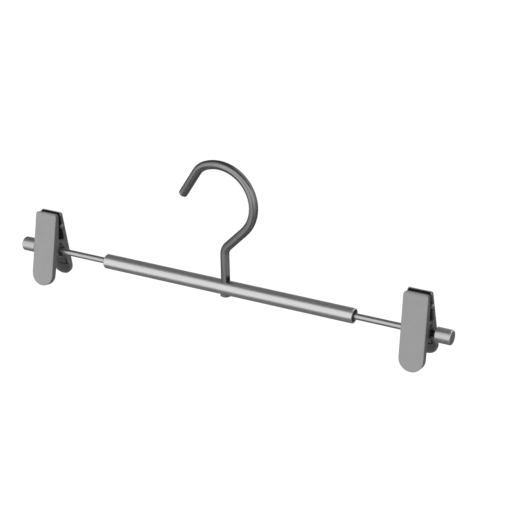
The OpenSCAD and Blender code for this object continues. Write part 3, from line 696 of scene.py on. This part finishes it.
reach = in_clip(foot_out, -foot_down)
foot = Vector((coil_half, *reach))
leave = atan2(reach.y, reach.x) + acos(coil_r / reach.length)
sweep = pi - 2 * leave + 2 * pi * curls
turns = round(sweep / coil_step)
coil = [Vector((coil_half * (2 * i / turns - 1), coil_r * cos(pi - leave - sweep * i / turns),
                coil_r * sin(pi - leave - sweep * i / turns))) for i in range(turns + 1)]
down = (foot - coil[-1]).normalized()
bend_at = foot - down * foot_bend - Vector((foot_bend, 0, 0))
leg = [bend_at + foot_bend * (cos(radians(a)) * Vector((1, 0, 0)) + sin(radians(a)) * down)
       for a in range(0, 91, 15)]
leg += [foot - Vector((foot_len / 2, 0, 0)), foot - Vector((foot_len, 0, 0))]
# As the handles are squeezed the coil winds up and its legs go with the jaws. So each leg moves with
# its own jaw, and starts with a thinner stretch inside the coil, which comes out as the coil winds.
leg = coil[-3:] + leg

for end, clip in clips:
    coils, _ = wire(coil, spring_r, spring_sides)
    coils = finished(f"{end}_spring_coils", coils, clip, spring_wire)
    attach(coils, f"{end}_spring")
    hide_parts(f"{end}_spring")
    for side, way in (("front", -1), ("back", 1)):
        turned_leg = [Vector((way * point.x, way * point.y, point.z)) for point in leg]
        spring_leg, cut_face = wire(turned_leg, spring_r, spring_sides, foot=leg_core)
        bmesh.ops.bevel(spring_leg, geom=cut_face.edges[:], offset=foot_edge, offset_type="OFFSET",
                        segments=2, profile=0.5, affect="EDGES", material=-1)
        spring_leg = finished(f"{end}_spring_{side}_leg", spring_leg, clip, spring_wire)
        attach(spring_leg, f"{end}_{side}_jaw")
        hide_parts(f"{end}_spring")

# Studio: a plain pale floor well below the hanger, since the hanger hangs clear of it. To the
# camera and to shiny metal the floor is the same white as the room, less the soft shadow on it.
floor_drop, floor_r, floor_white = 0.225, 4.0, 0.94


def staged(name, shape, material, glossy_only):
    """Sets up a board of the studio. One for metal only is seen in shiny metal and nowhere else."""
    stand = as_object(name, shape)
    stand.data.materials.append(material)
    if glossy_only:
        stand.visible_camera = stand.visible_diffuse = stand.visible_shadow = False
        stand.visible_transmission = stand.visible_volume_scatter = False
    stand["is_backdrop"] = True


def disc(radius, across, height):
    """A level round board, at a point of the room in metres."""
    shape = bmesh.new()
    bmesh.ops.create_circle(shape, cap_ends=True, segments=96, radius=radius)
    bmesh.ops.translate(shape, vec=(*across, height), verts=shape.verts)
    return shape


def in_sight(tree):
    """Is 1 for what the camera sees directly, mirrored or through glass, and 0 for what gives light."""
    sight = add(tree, "LightPath", {}).outputs
    seen = add(tree, "Math", {0: sight["Is Camera Ray"], 1: sight["Is Glossy Ray"]}, operation="MAXIMUM")
    return add(tree, "Math", {0: seen.outputs[0], 1: sight["Is Transmission Ray"]},
               operation="MAXIMUM").outputs[0]


# White card floor: matt paper that takes the light evenly, and looks as white as the room.
paper = bpy.data.materials.new("white_card_paper")
tree = bare_tree(paper)
lit = add(tree, "BsdfDiffuse", {"Color": linear("#bcbcbc")})
faint = add(tree, "BsdfDiffuse", {"Color": (0.14, 0.14, 0.14, 1)})
white = add(tree, "Emission", {"Strength": floor_white})
bright = add(tree, "AddShader", {0: faint.outputs[0], 1: white.outputs[0]})
both = add(tree, "MixShader", {0: in_sight(tree), 1: lit.outputs[0], 2: bright.outputs[0]})
add(tree, "OutputMaterial", {"Surface": both.outputs[0]})
staged("floor", disc(floor_r, (0, 0), cad_low.z - floor_drop), paper, glossy_only=False)

# Grey cards, seen by metal alone, give it the dark bands of a photographer's tent: one level below
# the hanger, one upright on its left that darkens that side of the hook, and four that arch over it
# from the front to the back. Those on the right leave a gap, so metal seen from behind stays light.
low_r, low_at, low_drop = 0.9, (0.3, 0.35), 0.2
wall_half, wall_at, arch_r = 0.7, Vector((-0.9, 0.3, 0.3)), 0.8


def glow(name, strength):
    """Card that glows with one even grey, for metal to show."""
    material = bpy.data.materials.new(name)
    tree = bare_tree(material)
    light = add(tree, "Emission", {"Color": (1, 1, 1, 1), "Strength": strength})
    add(tree, "OutputMaterial", {"Surface": light.outputs[0]})
    return material


staged("low_card", disc(low_r, low_at, bar.z - low_drop), glow("low_grey_card", 0.19), glossy_only=True)
for name, start, end, grey, span in (("over_card", 60, 160, 0.16, (-1.6, 0.05)),
                                     ("rear_card", 160, 196, 0.31, (-1.6, 0.05)),
                                     ("far_over_card", 60, 112, 0.16, (0.05, 1.6)),
                                     ("far_rear_card", 158, 196, 0.75, (0.05, 1.6))):
    arch = bmesh.new()
    arch.edges.new([arch.verts.new((x, -arch_r, 0)) for x in span])
    bmesh.ops.rotate(arch, cent=(0, 0, 0), matrix=Matrix.Rotation(radians(-start), 3, "X"), verts=arch.verts)
    bmesh.ops.spin(arch, geom=[*arch.verts, *arch.edges], cent=(0, 0, 0), axis=(1, 0, 0),
                   angle=radians(start - end), steps=24)
    bmesh.ops.translate(arch, vec=bar, verts=arch.verts)
    staged(name, arch, glow(f"{name}_grey", grey), glossy_only=True)

wall = bmesh.new()
bmesh.ops.create_grid(wall, x_segments=1, y_segments=1, size=wall_half)
bmesh.ops.rotate(wall, cent=(0, 0, 0), matrix=Matrix.Rotation(pi / 2, 3, "Y"), verts=wall.verts)
bmesh.ops.translate(wall, vec=bar + wall_at, verts=wall.verts)
staged("side_card", wall, glow("side_grey_card", 0.1), glossy_only=True)

# Soft boxes: two broad round ones above the hanger, in front and behind, so that each side of it
# is lit. They light matt surfaces only; metal shows the white room and the cards.
box_away, box_wide = 5.0, 1.9
for name, way, power in (("front_box", (-0.13, -0.9, 0.36), 196.0), ("back_box", (-0.35, 0.85, 0.4), 170.0)):
    lamp = bpy.data.lights.new(name, "AREA")
    lamp.shape, lamp.size, lamp.energy = "DISK", box_wide, power
    box = linked(name, lamp)
    way = Vector(way).normalized()
    facing = way.to_track_quat("Z", "Y").to_matrix().to_4x4()
    box.matrix_world = Matrix.Translation(bar + way * box_away) @ facing
    box.visible_camera = box.visible_glossy = False

# White room: everything round the floor is white to the camera and in metal, but it adds only a
# dim even light to the hanger, so that the soft boxes still model its forms.
room_white, room_light = 1.0, 0.12
world = bpy.data.worlds.new("white_room")
bpy.context.scene.world = world
tree = bare_tree(world)
dim = add(tree, "Background", {"Color": (1, 1, 1, 1), "Strength": room_light})
white = add(tree, "Background", {"Color": (1, 1, 1, 1), "Strength": room_white})
both = add(tree, "MixShader", {0: in_sight(tree), 1: dim.outputs[0], 2: white.outputs[0]})
add(tree, "OutputWorld", {"Surface": both.outputs[0]})

# Camera: in front on the right and above, at the photograph's angle and distance. Its shifts set
# the bar's middle where the photograph has it, and the lens is as long as a 1533 pixel focal length.
turn, rise, roll = radians(28.993), radians(24.013), radians(-0.905)
camera_away, camera_right, camera_up = 1008, 26.124, 20.98
photo_wide, focal, sensor = 531, 1533, 36
back = Vector((sin(turn) * cos(rise), -cos(turn) * cos(rise), sin(rise)))
right = Vector((cos(turn), sin(turn), 0))
up = back.cross(right)
across, above = right * cos(roll) + up * sin(roll), up * cos(roll) - right * sin(roll)
lens = bpy.data.cameras.new("camera")
lens.sensor_width, lens.lens = sensor, sensor * focal / photo_wide
camera = linked("camera", lens)
camera_at = bar + (back * camera_away + across * camera_right + above * camera_up) * MM
camera.matrix_world = Matrix.Translation(camera_at) @ Matrix((across, above, back)).transposed().to_4x4()
bpy.context.scene.camera = camera
bpy.context.scene.view_settings.view_transform = "Standard"

# Size: the whole hanger's box, in the solids and in the finished model.
low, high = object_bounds()
